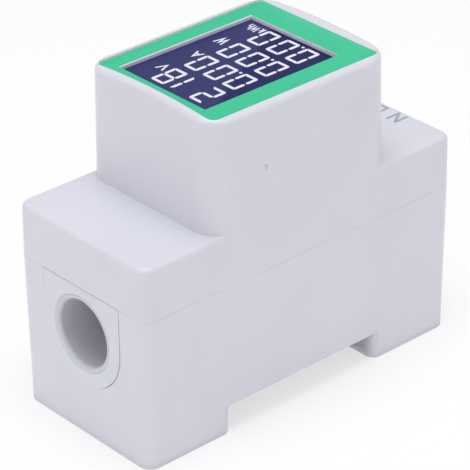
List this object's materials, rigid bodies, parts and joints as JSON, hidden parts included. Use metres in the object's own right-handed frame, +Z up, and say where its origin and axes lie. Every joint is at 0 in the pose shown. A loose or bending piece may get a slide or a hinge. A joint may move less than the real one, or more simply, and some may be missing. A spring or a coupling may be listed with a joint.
{
  "type": "din rail wattmeter",
  "caption": "Rail-mounted AC power meter: stepped off-white case, cable tube through its length, green faceplate with blue segment display, push-in supply terminal and a spring latch.",
  "frame": {"origin": "on the ground under the middle of the case, between the two feet", "axes": "+X along the rail, +Y from the open cable mouth to the terminal end, +Z up to the display"},
  "size_m": [0.036, 0.0776, 0.0655],
  "materials": {
    "case_plastic": "satin",
    "label_film": "satin",
    "display_glass": "smooth",
    "light_guide": "smooth",
    "board_laminate": "satin",
    "tinned_metal": "satin",
    "black_plastic": "satin",
    "terminal_plastic": "satin",
    "button_plastic": "satin",
    "spring_steel": "satin",
    "core_ferrite": "dull",
    "winding_tape": "satin",
    "lead_insulation": "satin",
    "capacitor_box": "satin",
    "capacitor_can": "smooth",
    "varistor_coat": "satin",
    "resistor_coat": "satin"
  },
  "bodies": {
    "case": {"base_housing": "case_plastic", "top_cover": "case_plastic", "faceplate": "label_film", "lcd_glass": "display_glass", "backlight": "light_guide", "display_board": "board_laminate", "lcd_pins": "tinned_metal", "main_board": "board_laminate", "link_pins": "tinned_metal", "link_strips": "black_plastic", "terminal_body": "terminal_plastic", "contact_n": "tinned_metal", "contact_l": "tinned_metal", "clamp_spring_n": "spring_steel", "clamp_spring_l": "spring_steel", "cable_tube": "case_plastic", "end_plate": "case_plastic", "ct_core": "core_ferrite", "ct_winding": "winding_tape", "ct_leads": "lead_insulation", "latch_spring": "spring_steel", "dropper_capacitor": "capacitor_box", "filter_capacitor": "capacitor_can", "surge_varistor": "varistor_coat", "fuse_resistor": "resistor_coat", "bridge_rectifier": "black_plastic", "metering_chip": "black_plastic", "controller_chip": "black_plastic", "crystal": "tinned_metal"},
    "latch": {"rail_latch": "case_plastic"},
    "button_n": {"terminal_button_n": "button_plastic"},
    "button_l": {"terminal_button_l": "button_plastic"}
  },
  "joints": [
    {"name": "latch_slide", "type": "slide", "parent": "case", "child": "latch", "axis": [0, 1, 0], "range_m": [0, 0.0026], "stiffness_N_per_m": 1800, "springref_m": -0.002, "deforming": ["latch_spring"]},
    {"name": "button_n_push", "type": "slide", "parent": "case", "child": "button_n", "axis": [0, -1, 0], "range_m": [0, 0.0014], "stiffness_N_per_m": 1500, "springref_m": -0.0005, "deforming": ["clamp_spring_n"]},
    {"name": "button_l_push", "type": "slide", "parent": "case", "child": "button_l", "axis": [0, -1, 0], "range_m": [0, 0.0014], "stiffness_N_per_m": 1500, "springref_m": -0.0005, "deforming": ["clamp_spring_l"]}
  ]
}
